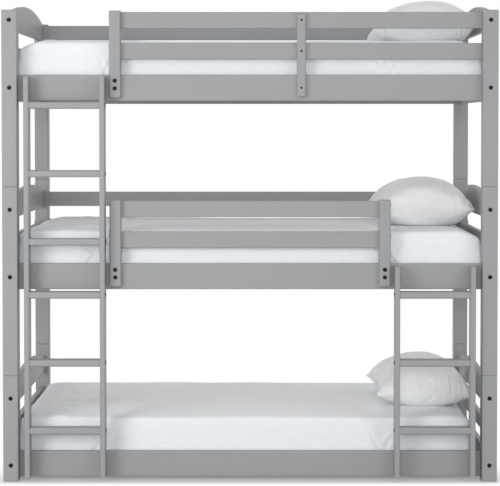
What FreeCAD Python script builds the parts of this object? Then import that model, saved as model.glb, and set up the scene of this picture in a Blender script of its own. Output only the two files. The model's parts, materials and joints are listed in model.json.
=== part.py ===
import FreeCAD, Part
import os
import re

import Sketcher

# Triple bunk bed: three bunks stacked on square posts, with guards, two ladders and bedding.
# Frame: +X along the bed, -Y towards the front, +Z up, origin on the floor at the middle of the bed.

# Driving sizes, in millimetres apart from the counts.
SIZES = {
    # Overall frame, measured over the posts
    "bed_length": 1994,
    "bed_depth": 1105,
    "tier_pitch": 762,
    # Posts, each in three stacked lengths
    "post_side": 62,
    "post_joint_rise": 56,
    "post_cap": 4,
    "post_round": 4,
    "joint_bevel": 2.5,
    # Side rails and end rails, with lifts measured from the base of their tier
    "rail_lift": 13.5,
    "rail_height": 105,
    "rail_thick": 20,
    "end_rail_thick": 22,
    "middle_rail_gap": 61.5,
    "middle_rail_height": 55,
    "arch_gap": 66,
    "arch_end_height": 73,
    "arch_rise": 45,
    "edge_round": 3.5,
    # Guards
    "lower_guard_gap": 62.5,
    "upper_guard_gap": 58.5,
    "guard_slat_height": 66,
    "guard_slat_thick": 20,
    "guard_post_width": 46,
    "guard_post_proud": 22,
    "guard_post_inset": 12,
    "guard_post_cap": 4.5,
    "batten_width": 35,
    "batten_thick": 18,
    "batten_inset": 15.5,
    "batten_drop": 8.5,
    "face_round": 5,
    # Ladders
    "ladder_gap": 28,
    "ladder_width": 325,
    "ladder_guard_gap": 15,
    "ladder_inset": 7.5,
    "ladder_drop": 9.5,
    "stile_thick": 21,
    "stile_depth": 70,
    "first_rung": 209,
    "rung_drop": 5,
    "rungs_per_tier": 3,
    "rung_height": 28,
    "rung_depth": 56,
    "rung_inset": 2,
    "rung_round": 7,
    # Bed base
    "ledger_side": 25,
    "slat_drop": 18,
    "slat_width": 70,
    "slat_thick": 18,
    "slat_count": 13,
    "slat_end_gap": 2,
    # Bedding
    "seat_gap": 0.3,
    "mattress_end_gap": 9,
    "mattress_side_gap": 8,
    "bottom_mattress_short": 45,
    "mattress_height": 152,
    "mattress_round": 22,
    "mattress_corner_extra": 18,
    "pillow_length": 415,
    "pillow_width": 624,
    "pillow_height": 203,
    "pillow_seam": 88,
    "pillow_foot": 80,
    "pillow_setback": 12,
    # Hex socket bolts and barrel nuts
    "bolt_diameter": 8,
    "bolt_head_diameter": 17,
    "bolt_head_height": 2.5,
    "socket_corners": 6.4,
    "socket_depth": 2,
    "bolt_tip": 2,
    "bolt_clearance": 0.5,
    "nut_diameter": 12,
    "nut_length": 15,
    "nut_inset": 30,
    "rail_bolt_spread": 30,
    "slat_bolt_rise": 16,
    "guard_bolt_rise": 50,
    "guard_bolt_spread": 31,
    "guard_bolt_skin": 5,
    "ladder_bolt_rise": 20,
    "ladder_bolt_bite": 44,
    # Dowels and wood screws
    "dowel_diameter": 10,
    "dowel_length": 60,
    "screw_diameter": 5,
    "screw_head_diameter": 9,
    "screw_head_height": 3,
    "screw_bite": 14,
    "fit_clearance": 0.2,
}

# Sizes and places that follow from the driving sizes.
FOLLOWING = {
    "ladder_proud": "stile_depth - post_side + rail_thick",
    "front_face": "(ladder_proud - bed_depth - bolt_head_height)/2",
    "back_face": "front_face + bed_depth",
    "inner_front": "front_face + post_side",
    "inner_back": "back_face - post_side",
    "middle_depth": "(front_face + back_face)/2",
    "front_rail_face": "inner_front - rail_thick",
    "back_rail_face": "inner_back + rail_thick",
    "half_length": "bed_length/2",
    "half_span": "half_length - post_side",
    "post_middle": "half_length - post_side/2",
    "rail_span": "2*half_span",
    "end_span": "bed_depth - 2*post_side",
    "end_rail_inner": "post_middle - end_rail_thick/2",
    "middle_rail_lift": "rail_lift + rail_height + middle_rail_gap",
    "arch_lift": "middle_rail_lift + middle_rail_height + arch_gap",
    "arch_top": "arch_lift + arch_end_height",
    "lower_post_height": "arch_top + post_joint_rise",
    "top_post_reach": "arch_top + post_cap",
    "upper_post_height": "tier_pitch + top_post_reach - lower_post_height",
    "post_tier_rise": "tier_pitch - lower_post_height",
    "rail_centre": "rail_lift + rail_height/2",
    "arch_centre": "arch_lift + arch_end_height/2",
    "middle_rail_centre": "middle_rail_lift + middle_rail_height/2",
    "lower_guard_lift": "rail_lift + rail_height + lower_guard_gap",
    "upper_guard_lift": "lower_guard_lift + guard_slat_height + upper_guard_gap",
    "guard_top": "upper_guard_lift + guard_slat_height",
    "slat_bolt_height": "guard_slat_height/2 + slat_bolt_rise",
    "entry_width": "ladder_gap + ladder_width + ladder_guard_gap",
    "guard_outer": "half_span - entry_width",
    "guard_inner": "guard_outer - guard_post_width",
    "guard_depth": "guard_post_proud + guard_slat_thick",
    "guard_face": "front_rail_face - guard_post_proud",
    "guard_post_lift": "rail_lift + guard_post_inset",
    "guard_post_reach": "guard_top + guard_post_cap",
    "guard_notch": "rail_lift + rail_height - guard_post_lift",
    "batten_lift": "rail_lift + batten_inset",
    "batten_reach": "guard_top - batten_drop",
    "batten_middle": "(half_span - guard_inner)/2",
    "bolt_bore": "bolt_diameter + 2*bolt_clearance",
    "bolt_length": "post_side + nut_inset + nut_diameter/2 + bolt_tip",
    "rail_end_bore": "bolt_length - post_side + bolt_clearance",
    "guard_end_bore": "bolt_length - guard_post_width + bolt_clearance",
    "guard_nut_inset": "post_side + nut_inset - guard_post_width",
    "guard_bolt_lift": "rail_lift + guard_bolt_rise",
    "guard_bolt_bite": "rail_thick - guard_bolt_skin",
    "guard_bolt_length": "guard_post_proud + guard_bolt_bite",
    "ladder_bolt_length": "stile_thick + ladder_bolt_bite",
    "nut_bore": "nut_diameter + 2*fit_clearance",
    "dowel_bore": "dowel_diameter + 2*fit_clearance",
    "dowel_depth": "dowel_length/2 + fit_clearance",
    "stile_face": "front_rail_face - stile_depth",
    "ladder_outer": "half_span - ladder_gap",
    "ladder_inner": "ladder_outer - ladder_width",
    "ladder_lift": "rail_lift + ladder_inset",
    "ladder_reach": "rail_lift + rail_height - ladder_drop",
    "rung_pitch": "(tier_pitch - rung_drop - first_rung)/(rungs_per_tier - 1)",
    "rung_length": "ladder_width - 2*stile_thick",
    "slat_top": "rail_lift + rail_height - slat_drop",
    "slat_length": "end_span - 2*slat_end_gap",
    "slat_gap": "(2*end_rail_inner - slat_count*slat_width)/(slat_count + 1)",
    "slat_pitch": "slat_width + slat_gap",
    "slat_run": "slat_pitch*(slat_count - 1)",
    "first_slat": "slat_gap - end_rail_inner",
    "ledger_top": "slat_top - slat_thick",
    "screw_length": "slat_thick - screw_head_height + screw_bite",
    "screw_bore": "screw_diameter + 2*fit_clearance",
    "screw_recess": "screw_head_diameter + 2*fit_clearance",
    "screw_inset": "ledger_side/2 - slat_end_gap",
    "batten_screw_depth": "screw_length + screw_head_height - batten_thick + fit_clearance",
    "mattress_bed": "slat_top + seat_gap",
    "mattress_length": "2*(end_rail_inner - mattress_end_gap)",
    "bottom_mattress_length": "mattress_length - bottom_mattress_short",
    "mattress_width": "end_span - 2*mattress_side_gap",
    "mattress_corner": "mattress_round + mattress_corner_extra",
    "pillow_rise": "pillow_height - pillow_seam",
    "pillow_bed": "mattress_bed + mattress_height + seat_gap",
    "pillow_end": "mattress_length/2 - pillow_setback",
}

TIERS = ("bottom", "middle", "top")
POST_LEVELS = ("lower", "middle", "upper")
PLANES = {"X": "YZ_Plane", "Y": "XZ_Plane", "Z": "XY_Plane"}
# The way a pocket cuts from each plane when it is not reversed.
POCKET_WAY = {"X": -1, "Y": 1, "Z": -1}
AXES = ("X", "Y", "Z")
SOCKET_SIDES = 6

doc = FreeCAD.newDocument("triple_bunk_bed")
sheet = doc.addObject("Spreadsheet::Sheet", "Sizes")
nodes = []


def fill_sheet():
    """Write the driving sizes, then the sizes that follow from them, each with its alias."""
    rows = [(name, str(value)) for name, value in SIZES.items()]
    rows += [(name, "=" + words) for name, words in FOLLOWING.items()]
    for row, (name, content) in enumerate(rows, start=1):
        sheet.set(f"A{row}", name)
        sheet.set(f"B{row}", content)
        sheet.setAlias(f"B{row}", name)
    doc.recompute()


def size(name):
    """One size of the sheet, as a number."""
    return float(sheet.get(name))


def rule(words):
    """A rule in size names, as an expression on the sheet."""
    return re.sub(r"[a-z_]+", lambda name: "Sizes." + name.group(), words)


def measure(words):
    """The value that a rule has now."""
    return float(sheet.evalExpression(rule(words)))


def bind(item, **rules):
    """Tie properties of a document object to rules in size names."""
    for name, words in rules.items():
        item.setExpression(name.replace("__", "."), rule(words))


def place(item, x, y, z):
    """Tie the place of a sub-part to rules in size names."""
    bind(item, Placement__Base__x=x, Placement__Base__y=y, Placement__Base__z=z)


def keep(item):
    """Count a document object among the nodes that are written out."""
    nodes.append(item)
    return item


def new_body(label):
    """An empty body whose name is its label."""
    return doc.addObject("PartDesign::Body", label)


def sketch_on(body, axis, level="0"):
    """A sketch square to an axis of the body, at a level along that axis."""
    sketch = body.newObject("Sketcher::SketchObject", body.Name + "_sketch")
    planes = [item for item in body.Origin.OriginFeatures if item.Role == PLANES[axis]]
    sketch.AttachmentSupport = (planes[0], "")
    sketch.MapMode = "FlatFace"
    offset = f"-({level})" if axis == "Y" else level
    bind(sketch, AttachmentOffset__Base__z=offset)
    return sketch


def pin_point(sketch, item, end, place_rules):
    """Tie a sketch point to its distances from the origin."""
    kinds = ("DistanceX", "DistanceY")
    axis_lines = (-2, -1)
    for kind, line, words in zip(kinds, axis_lines, place_rules):
        if words == "0":
            sketch.addConstraint(Sketcher.Constraint("PointOnObject", item, end, line))
        else:
            held = sketch.addConstraint(Sketcher.Constraint(kind, -1, 1, item, end, measure(words)))
            sketch.setExpression(f"Constraints[{held}]", rule(words))


def outline(sketch, corners):
    """A closed straight-sided outline through corners given as pairs of rules."""
    points = [FreeCAD.Vector(measure(u), measure(v), 0) for u, v in corners]
    ends = points[1:] + points[:1]
    for start, end in zip(points, ends):
        sketch.addGeometry(Part.LineSegment(start, end))
    for item, corner in enumerate(corners):
        follower = (item + 1) % len(corners)
        sketch.addConstraint(Sketcher.Constraint("Coincident", item, 2, follower, 1))
        pin_point(sketch, item, 1, corner)


def pad(body, sketch, axis, length):
    """Pad a sketch along +axis."""
    feature = body.newObject("PartDesign::Pad", body.Name + "_pad")
    feature.Profile = sketch
    feature.Reversed = axis == "Y"
    bind(feature, Length=length)
    doc.recompute()
    return feature


def crowned(sketch, corners, span, rise):
    """A closed outline: straight runs through the corners, then one arc back over the span."""
    points = [FreeCAD.Vector(measure(u), measure(v), 0) for u, v in corners]
    for start, end in zip(points, points[1:]):
        sketch.addGeometry(Part.LineSegment(start, end))
    crown = (points[0] + points[-1])/2 + FreeCAD.Vector(0, measure(rise), 0)
    arc = sketch.addGeometry(Part.Arc(points[-1], crown, points[0]))
    for item in range(arc - 1):
        sketch.addConstraint(Sketcher.Constraint("Coincident", item, 2, item + 1, 1))
    sketch.addConstraint(Sketcher.Constraint("Coincident", arc, 1, arc - 1, 2))
    sketch.addConstraint(Sketcher.Constraint("Coincident", arc, 2, 0, 1))
    for item, corner in enumerate(corners[:-1]):
        pin_point(sketch, item, 1, corner)
    pin_point(sketch, arc, 1, corners[-1])
    radius = f"{span}*{span}/8/{rise} + {rise}/2"
    bend = sketch.addConstraint(Sketcher.Constraint("Radius", arc, measure(radius)))
    sketch.setExpression(f"Constraints[{bend}]", rule(radius))


def runs_along(axis):
    """A test for edges that reach from one end of a piece to the other."""
    on_axis = AXES.index(axis)

    def test(edge, box):
        reach = (box.XLength, box.YLength, box.ZLength)[on_axis]
        levels = [vertex.Point[on_axis] for vertex in edge.Vertexes]
        return max(levels) - min(levels) > reach/2

    return test


def runs_around(axis):
    """A test for the edges that lie around the two ends of a piece."""
    along = runs_along(axis)
    return lambda edge, box: not along(edge, box)


def on_front(edge, box):
    """A test for edges that lie in the plane of a piece's front face."""
    return max(vertex.Point[1] for vertex in edge.Vertexes) < box.YMin + size("fit_clearance")


def dress(body, kind, wanted, **rules):
    """Round or bevel the edges of the body that a test picks out."""
    base = body.Tip
    box = base.Shape.BoundBox
    picked = [f"Edge{i}" for i, edge in enumerate(base.Shape.Edges, start=1) if wanted(edge, box)]
    feature = body.newObject("PartDesign::" + kind, f"{body.Name}_{kind.lower()}")
    feature.Base = (base, picked)
    bind(feature, **rules)
    doc.recompute()


def ease(body, radius, wanted):
    """Round the edges that a test picks out."""
    dress(body, "Fillet", wanted, Radius=radius)


def bevel_ends(body, axis):
    """Bevel the edges around both ends of a board."""
    dress(body, "Chamfer", runs_around(axis), Size="joint_bevel")


def board(label, axis, section, length, corner, radius):
    """A straight board along one axis, with its lowest corner at a place and its long edges eased."""
    body = new_body(label)
    place(body, *corner)
    sketch = sketch_on(body, axis)
    wide, high = section
    outline(sketch, (("0", "0"), (wide, "0"), (wide, high), ("0", high)))
    pad(body, sketch, axis, length)
    if radius:
        ease(body, radius, runs_along(axis))
    return body


def holes(body, axis, level, way, spots, diameter, depth=""):
    """Round holes along an axis from one level, way +1 or -1, through everything if no depth is given."""
    before = body.Tip.Shape.Volume
    sketch = sketch_on(body, axis, level)
    for item, spot in enumerate(spots):
        centre = FreeCAD.Vector(measure(spot[0]), measure(spot[1]), 0)
        sketch.addGeometry(Part.Circle(centre, FreeCAD.Vector(0, 0, 1), measure(diameter)/2))
        pin_point(sketch, item, 3, spot)
        held = sketch.addConstraint(Sketcher.Constraint("Diameter", item, measure(diameter)))
        sketch.setExpression(f"Constraints[{held}]", rule(diameter))
    pocket = body.newObject("PartDesign::Pocket", body.Name + "_holes")
    pocket.Profile = sketch
    pocket.Reversed = POCKET_WAY[axis] != way
    if depth:
        bind(pocket, Length=depth)
    else:
        pocket.Type = "ThroughAll"
    doc.recompute()
    if not pocket.Shape.Volume < before:
        raise ValueError(f"{body.Label}: the holes along {axis} cut nothing")


def together(label, members):
    """Separate solids that share one node."""
    node = doc.addObject("Part::Compound", label)
    node.Links = members
    return keep(node)


def copies(label, pattern, spots):
    """Separate copies of one small piece, at places worked out from the sheet."""
    solids = []
    for spot in spots:
        solid = pattern.Shape.Solids[0].copy()
        solid.Placement = spot
        solids.append(solid)
    node = doc.addObject("Part::Feature", label)
    node.Shape = Part.makeCompound(solids)
    node.Placement = FreeCAD.Placement()
    return keep(node)


# Posts

def post_base(tier):
    """Height of the foot of a post length."""
    return ("0", "lower_post_height", "lower_post_height + tier_pitch")[tier]


def post_height(tier):
    """Height of a post length."""
    return ("lower_post_height", "tier_pitch", "upper_post_height")[tier]


def has_guard_bolts(side, face, tier):
    """Guard slats end at both back posts of the upper two tiers and at the top right front post."""
    at_back = face == "back" and tier > 0
    return at_back or (face, side, tier) == ("front", "right", len(TIERS) - 1)


def in_post(tier, lift):
    """Height within a post length of a place given by its lift above the base of the tier."""
    return lift if tier == 0 else f"post_tier_rise + {lift}"


def drill_post(post, side, face, tier):
    """Bolt holes for the rails and guards, and dowel holes for the joints."""
    middle = "post_side/2"
    through_depth = [(middle, in_post(tier, lift)) for lift in ("rail_centre", "arch_centre")]
    holes(post, "Y", "0", 1, through_depth, "bolt_bore")
    rail_middle = "post_side - rail_thick/2" if face == "front" else "rail_thick/2"
    lifts = ("rail_centre - rail_bolt_spread/2", "rail_centre + rail_bolt_spread/2")
    through_width = [(rail_middle, in_post(tier, lift)) for lift in lifts]
    if has_guard_bolts(side, face, tier):
        front_middle = "post_side - rail_thick + guard_slat_thick/2"
        guard_middle = front_middle if face == "front" else "rail_thick - guard_slat_thick/2"
        for lift in ("lower_guard_lift", "upper_guard_lift"):
            through_width.append((guard_middle, in_post(tier, lift + " + slat_bolt_height")))
    holes(post, "X", "0", 1, through_width, "bolt_bore")
    inner = ("post_side", -1) if face == "front" else ("0", 1)
    spot = [(middle, in_post(tier, "middle_rail_centre"))]
    holes(post, "Y", *inner, spot, "dowel_bore", "dowel_depth")
    if tier > 0:
        holes(post, "Z", "0", 1, [(middle, middle)], "dowel_bore", "dowel_depth")
    if tier < len(TIERS) - 1:
        holes(post, "Z", post_height(tier), -1, [(middle, middle)], "dowel_bore", "dowel_depth")


def make_post(side, face, tier):
    """One post length, named for its corner and level."""
    x = "-half_length" if side == "left" else "half_span"
    y = "front_face" if face == "front" else "inner_back"
    label = f"{face}_{side}_{POST_LEVELS[tier]}_post"
    corner = (x, y, post_base(tier))
    post = board(label, "Z", ("post_side", "post_side"), post_height(tier), corner, "post_round")
    bevel_ends(post, "Z")
    drill_post(post, side, face, tier)
    return keep(post)


# End rails

def drill_end_rail(rail, side, height):
    """Bolt holes in both ends of an end rail and its two barrel nut holes, from the inside."""
    end_spot = [("end_rail_thick/2", height)]
    holes(rail, "Y", "0", 1, end_spot, "bolt_bore", "rail_end_bore")
    holes(rail, "Y", "end_span", -1, end_spot, "bolt_bore", "rail_end_bore")
    nuts = [("nut_inset", height), ("end_span - nut_inset", height)]
    inner = ("end_rail_thick", -1) if side == "left" else ("0", 1)
    holes(rail, "X", *inner, nuts, "nut_bore", "end_rail_thick/2 + nut_length/2")


def end_rail_corner(side, tier, lift):
    """Lowest corner of an end rail, which lies in the middle of the post's width."""
    x = "-post_middle - end_rail_thick/2" if side == "left" else "end_rail_inner"
    return (x, "inner_front", f"tier_pitch*{tier} + {lift}")


def make_end_rails(side, tier):
    """The two straight rails of an end frame: a bolted lower rail and a dowelled middle rail."""
    label = f"{TIERS[tier]}_{side}_end_rails"
    corner = end_rail_corner(side, tier, "rail_lift")
    section = ("end_rail_thick", "rail_height")
    lower = board(label + "_lower", "Y", section, "end_span", corner, "edge_round")
    drill_end_rail(lower, side, "rail_height/2")
    corner = end_rail_corner(side, tier, "middle_rail_lift")
    section = ("end_rail_thick", "middle_rail_height")
    middle = board(label + "_middle", "Y", section, "end_span", corner, "edge_round")
    spot = [("end_rail_thick/2", "middle_rail_height/2")]
    holes(middle, "Y", "0", 1, spot, "dowel_bore", "dowel_depth")
    holes(middle, "Y", "end_span", -1, spot, "dowel_bore", "dowel_depth")
    together(label, [lower, middle])


def make_arched_rail(side, tier):
    """The top rail of an end frame: straight below, one shallow arc above."""
    body = new_body(f"{TIERS[tier]}_{side}_arched_rail")
    place(body, *end_rail_corner(side, tier, "arch_lift"))
    sketch = sketch_on(body, "X")
    shoulder = "arch_end_height"
    corners = (("0", shoulder), ("0", "0"), ("end_span", "0"), ("end_span", shoulder))
    crowned(sketch, corners, "end_span", "arch_rise")
    pad(body, sketch, "X", "end_rail_thick")
    ease(body, "edge_round", runs_along("Y"))
    drill_end_rail(body, side, "arch_end_height/2")
    keep(body)


# Side rails and the bed base

def drill_rail_ends(rail, face, heights, thick, length, ends):
    """Bolt holes in both ends of a board along X, and barrel nut holes from the inside of the bed."""
    (low_bore, low_inset), (high_bore, high_inset) = ends
    spots = [(f"{thick}/2", height) for height in heights]
    holes(rail, "X", "0", 1, spots, "bolt_bore", low_bore)
    holes(rail, "X", length, -1, spots, "bolt_bore", high_bore)
    nuts = []
    for height in heights:
        nuts += [(low_inset, height), (f"{length} - {high_inset}", height)]
    inner = (thick, -1) if face == "front" else ("0", 1)
    holes(rail, "Y", *inner, nuts, "nut_bore", f"{thick}/2 + nut_length/2")


def stile_middles(side):
    """Distances from the left end of a side rail to the middles of one ladder's stiles."""
    near = "ladder_gap + stile_thick/2"
    far = "ladder_gap + ladder_width - stile_thick/2"
    if side == "left":
        return [near, far]
    return [f"rail_span - ({distance})" for distance in (far, near)]


def guard_post_middle(side):
    """Distance from the left end of a side rail to the middle of a guard post."""
    distance = "entry_width + guard_post_width/2"
    return distance if side == "left" else f"rail_span - ({distance})"


def guard_sides(tier):
    """Sides of a tier that carry a front guard post."""
    return ((), ("left", "right"), ("left",))[tier]


def ladder_sides(tier):
    """Sides of a tier whose front rail carries a ladder."""
    return (("left", "right"), ("left", "right"), ("left",))[tier]


def drill_front_rail(rail, tier):
    """Holes in a front rail for the ladders, the guard posts and the batten."""
    ladder_spots = []
    for side in ladder_sides(tier):
        ladder_spots += [(middle, "ladder_bolt_rise") for middle in stile_middles(side)]
    holes(rail, "Y", "0", 1, ladder_spots, "bolt_bore")
    guard_spots = []
    for side in guard_sides(tier):
        low = "guard_bolt_lift - rail_lift"
        middle = guard_post_middle(side)
        guard_spots += [(middle, low), (middle, low + " + guard_bolt_spread")]
    if guard_spots:
        holes(rail, "Y", "0", 1, guard_spots, "bolt_bore", "guard_bolt_bite + bolt_clearance")
    if tier == len(TIERS) - 1:
        spot = [("half_span + batten_middle", "rail_height/2")]
        holes(rail, "Y", "0", 1, spot, "screw_bore", "batten_screw_depth")


def make_side_rail(face, tier):
    """One long rail between two posts, flush with their inner faces."""
    y = "front_rail_face" if face == "front" else "inner_back"
    corner = ("-half_span", y, f"tier_pitch*{tier} + rail_lift")
    label = f"{TIERS[tier]}_{face}_side_rail"
    rail = board(label, "X", ("rail_thick", "rail_height"), "rail_span", corner, "edge_round")
    bolts = ("rail_height/2 - rail_bolt_spread/2", "rail_height/2 + rail_bolt_spread/2")
    ends = (("rail_end_bore", "nut_inset"), ("rail_end_bore", "nut_inset"))
    drill_rail_ends(rail, face, bolts, "rail_thick", "rail_span", ends)
    if face == "front":
        drill_front_rail(rail, tier)
    keep(rail)


def repeat_along_bed(body, feature):
    """Repeat a feature, or the whole body, at the pitch of the bed slats."""
    pattern = body.newObject("PartDesign::LinearPattern", body.Name + "_row")
    if feature is None:
        pattern.TransformMode = "Whole shape"
    else:
        pattern.Originals = [feature]
    axis = [item for item in body.Origin.OriginFeatures if item.Role == "X_Axis"]
    pattern.Direction = (axis[0], [""])
    bind(pattern, Length="slat_run", Occurrences="slat_count")
    body.Tip = pattern
    doc.recompute()


def make_ledgers(tier):
    """The two strips that carry the bed slats, one along the inside of each side rail."""
    label = f"{TIERS[tier]}_slat_ledgers"
    strips = []
    for face, y in (("front", "inner_front"), ("back", "inner_back - ledger_side")):
        corner = ("-half_span", y, f"tier_pitch*{tier} + ledger_top - ledger_side")
        section = ("ledger_side", "ledger_side")
        strip = board(f"{label}_{face}", "X", section, "rail_span", corner, None)
        spot = [("half_span + first_slat + slat_width/2", "ledger_side/2")]
        depth = "screw_bite + fit_clearance"
        holes(strip, "Z", "ledger_side", -1, spot, "screw_bore", depth)
        repeat_along_bed(strip, strip.Tip)
        strips.append(strip)
    together(label, strips)


def make_slats(tier):
    """The row of bed slats of one bunk, each screwed down at both ends."""
    corner = ("first_slat", "inner_front + slat_end_gap", f"tier_pitch*{tier} + ledger_top")
    label = f"{TIERS[tier]}_bed_slats"
    row = board(label, "Y", ("slat_width", "slat_thick"), "slat_length", corner, "edge_round")
    row.AllowCompound = True
    spots = [("slat_width/2", "screw_inset"), ("slat_width/2", "slat_length - screw_inset")]
    holes(row, "Z", "0", 1, spots, "screw_bore")
    holes(row, "Z", "slat_thick", -1, spots, "screw_recess", "screw_head_height")
    repeat_along_bed(row, None)
    keep(row)


# Guards

def make_guard_post(side, tier):
    """A guard post in front of the side rail, notched to sit on it and to take the slat ends."""
    body = new_body(f"{TIERS[tier]}_{side}_guard_post")
    x = "-guard_outer" if side == "left" else "guard_inner"
    place(body, x, "guard_face", f"tier_pitch*{tier} + guard_post_lift")
    sketch = sketch_on(body, "X")
    height = "guard_post_reach - guard_post_lift"
    corners = (("0", "0"), ("guard_post_proud", "0"), ("guard_post_proud", "guard_notch"),
               ("guard_depth", "guard_notch"), ("guard_depth", height), ("0", height))
    outline(sketch, corners)
    pad(body, sketch, "X", "guard_post_width")
    ease(body, "face_round", on_front)
    low = "guard_bolt_lift - guard_post_lift"
    spots = [("guard_post_width/2", low), ("guard_post_width/2", low + " + guard_bolt_spread")]
    holes(body, "Y", "0", 1, spots, "bolt_bore")
    ends = []
    for lift in ("lower_guard_lift", "upper_guard_lift"):
        height = f"{lift} + slat_bolt_height - guard_post_lift"
        ends.append(("guard_post_proud + guard_slat_thick/2", height))
    holes(body, "X", "0", 1, ends, "bolt_bore")
    keep(body)


def make_guard_slats(face, tier):
    """The two slats of a guard, between guard posts, posts or one of each."""
    label = f"{TIERS[tier]}_{face}_guard_slats"
    at_post = ("rail_end_bore", "nut_inset")
    at_guard_post = ("guard_end_bore", "guard_nut_inset")
    sides = guard_sides(tier) if face == "front" else ()
    ends = [at_guard_post if side in sides else at_post for side in ("left", "right")]
    x = "-guard_inner" if "left" in sides else "-half_span"
    reach = "guard_inner" if "right" in sides else "half_span"
    length = f"({reach}) - ({x})"
    y = "front_rail_face" if face == "front" else "back_rail_face - guard_slat_thick"
    slats = []
    for level in ("lower", "upper"):
        corner = (x, y, f"tier_pitch*{tier} + {level}_guard_lift")
        section = ("guard_slat_thick", "guard_slat_height")
        slat = board(f"{label}_{level}", "X", section, length, corner, "edge_round")
        drill_rail_ends(slat, face, ("slat_bolt_height",), "guard_slat_thick", length, ends)
        if len(sides) == 1:
            spot = [("guard_inner + batten_middle", "guard_slat_height/2")]
            holes(slat, "Y", "0", 1, spot, "screw_bore", "batten_screw_depth")
        slats.append(slat)
    together(label, slats)


def make_batten():
    """The upright strip that ties the slats of the top guard to the side rail."""
    tier = len(TIERS) - 1
    body = new_body("top_guard_batten")
    z = f"tier_pitch*{tier} + batten_lift"
    place(body, "batten_middle - batten_width/2", "front_rail_face - batten_thick", z)
    sketch = sketch_on(body, "Z")
    wide, thick = "batten_width", "batten_thick"
    outline(sketch, (("0", "0"), (wide, "0"), (wide, thick), ("0", thick)))
    pad(body, sketch, "Z", "batten_reach - batten_lift")
    ease(body, "face_round", on_front)
    lifts = [f"{lift} + guard_slat_height/2" for lift in ("lower_guard_lift", "upper_guard_lift")]
    lifts.append("rail_centre")
    spots = [("batten_width/2", f"{lift} - batten_lift") for lift in lifts]
    holes(body, "Y", "0", 1, spots, "screw_bore")
    holes(body, "Y", "0", 1, spots, "screw_recess", "screw_head_height")
    keep(body)


# Ladders

def ladder_tiers(side):
    """Number of tiers that a ladder climbs past."""
    return 2 if side == "left" else 1


def rung_heights(side):
    """Heights of the middles of a ladder's rungs, the same on every tier."""
    heights = []
    for tier in range(ladder_tiers(side)):
        for step in range(int(size("rungs_per_tier"))):
            heights.append(f"tier_pitch*{tier} + first_rung + rung_pitch*{step}")
    return heights


def make_stiles(side):
    """The two uprights of a ladder, bolted to the front rails from inside."""
    outer = "-ladder_outer" if side == "left" else "ladder_outer - stile_thick"
    inner = "-ladder_inner - stile_thick" if side == "left" else "ladder_inner"
    tiers = ladder_tiers(side)
    length = f"tier_pitch*{tiers} + ladder_reach - ladder_lift"
    rung_middle = "rung_inset + rung_depth/2"
    rungs = [(rung_middle, f"{height} - ladder_lift") for height in rung_heights(side)]
    rails = []
    for tier in range(tiers + 1):
        height = f"tier_pitch*{tier} + rail_lift + ladder_bolt_rise - ladder_lift"
        rails.append(("stile_thick/2", height))
    stiles = []
    for name, x in (("outer", outer), ("inner", inner)):
        corner = (x, "stile_face", "ladder_lift")
        label = f"{side}_ladder_stiles_{name}"
        stile = board(label, "Z", ("stile_thick", "stile_depth"), length, corner, "post_round")
        holes(stile, "X", "0", 1, rungs, "bolt_bore")
        depth = "ladder_bolt_length - rail_thick + bolt_clearance"
        holes(stile, "Y", "stile_depth", -1, rails, "bolt_bore", depth)
        stiles.append(stile)
    together(f"{side}_ladder_stiles", stiles)


def make_rungs(side):
    """The rungs of a ladder, flat boards with well rounded edges."""
    x = "-ladder_outer + stile_thick" if side == "left" else "ladder_inner + stile_thick"
    label = f"{side}_ladder_rungs"
    rungs = []
    for step, height in enumerate(rung_heights(side), start=1):
        corner = (x, "stile_face + rung_inset", f"{height} - rung_height/2")
        section = ("rung_depth", "rung_height")
        rung = board(f"{label}_{step}", "X", section, "rung_length", corner, "rung_round")
        spot = [("rung_depth/2", "rung_height/2")]
        depth = "ladder_bolt_bite + bolt_clearance"
        holes(rung, "X", "0", 1, spot, "bolt_bore", depth)
        holes(rung, "X", "rung_length", -1, spot, "bolt_bore", depth)
        rungs.append(rung)
    together(label, rungs)


# Bedding

def make_mattress(tier):
    """The mattress of one bunk on its slats: a soft-edged block, which ends short on the bottom bunk."""
    body = new_body(f"{TIERS[tier]}_mattress")
    z = f"tier_pitch*{tier} + mattress_bed"
    place(body, "-mattress_length/2", "middle_depth - mattress_width/2", z)
    sketch = sketch_on(body, "Z")
    long = "mattress_length" if tier else "bottom_mattress_length"
    wide = "mattress_width"
    outline(sketch, (("0", "0"), (long, "0"), (long, wide), ("0", wide)))
    pad(body, sketch, "Z", "mattress_height")
    ease(body, "mattress_corner", runs_along("Z"))
    ease(body, "mattress_round", runs_around("Z"))
    keep(body)


def make_pillow(tier):
    """A pillow at the right end: flat below, a seam all round and a crown, as two crossed lens forms."""
    label = f"{TIERS[tier]}_pillow"
    z = f"tier_pitch*{tier} + pillow_bed"
    forms = []
    for axis, span, run in (("Y", "pillow_length", "pillow_width"), ("X", "pillow_width", "pillow_length")):
        body = new_body(f"{label}_along_{axis}")
        place(body, "pillow_end - pillow_length", "middle_depth - pillow_width/2", z)
        sketch = sketch_on(body, axis)
        foot = "pillow_foot"
        corners = (("0", "pillow_seam"), (foot, "0"), (f"{span} - {foot}", "0"), (span, "pillow_seam"))
        crowned(sketch, corners, span, "pillow_rise")
        pad(body, sketch, axis, run)
        forms.append(body)
    pillow = doc.addObject("Part::Common", label)
    pillow.Base, pillow.Tool = forms
    doc.recompute()
    keep(pillow)


# Fasteners

def round_piece(label, steps):
    """A piece turned about Z, from pairs of radius and height going up its outside."""
    body = new_body(label)
    sketch = sketch_on(body, "Y")
    corners = [("0", steps[0][1])] + list(steps) + [("0", steps[-1][1])]
    outline(sketch, corners)
    turned = body.newObject("PartDesign::Revolution", label + "_turned")
    turned.Profile = sketch
    turned.ReferenceAxis = (sketch, ["V_Axis"])
    doc.recompute()
    return body


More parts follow.
